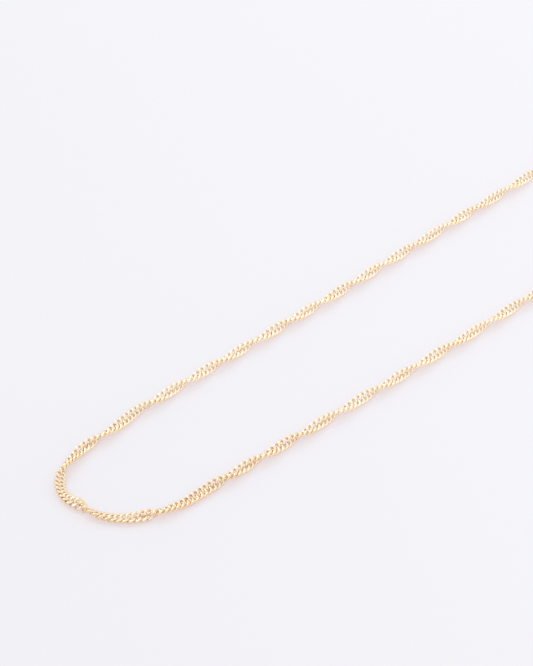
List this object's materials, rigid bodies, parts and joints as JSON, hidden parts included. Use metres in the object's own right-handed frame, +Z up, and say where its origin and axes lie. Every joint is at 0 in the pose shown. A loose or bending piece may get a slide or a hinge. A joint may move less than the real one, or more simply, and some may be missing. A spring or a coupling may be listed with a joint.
{
  "type": "twisted curb neck chain",
  "caption": "Fine twisted curb neck chain of yellow metal, laid flat in a narrow closed loop with a spring-ring clasp.",
  "frame": {"origin": "on the surface that the chain lies on, under the middle of its bounding box", "axes": "+X along the narrow loop from the tight bend to the clasp, +Y across the loop, +Z up"},
  "size_m": [0.2124, 0.0318, 0.0029],
  "materials": {
    "chain_gold": "polished pale yellow gold",
    "clasp_gold": "polished pale yellow gold"
  },
  "bodies": {
    "root": {"chain": "chain_gold", "clasp_ring": "clasp_gold", "clasp": "clasp_gold", "catch_ring": "clasp_gold"}
  },
  "joints": []
}
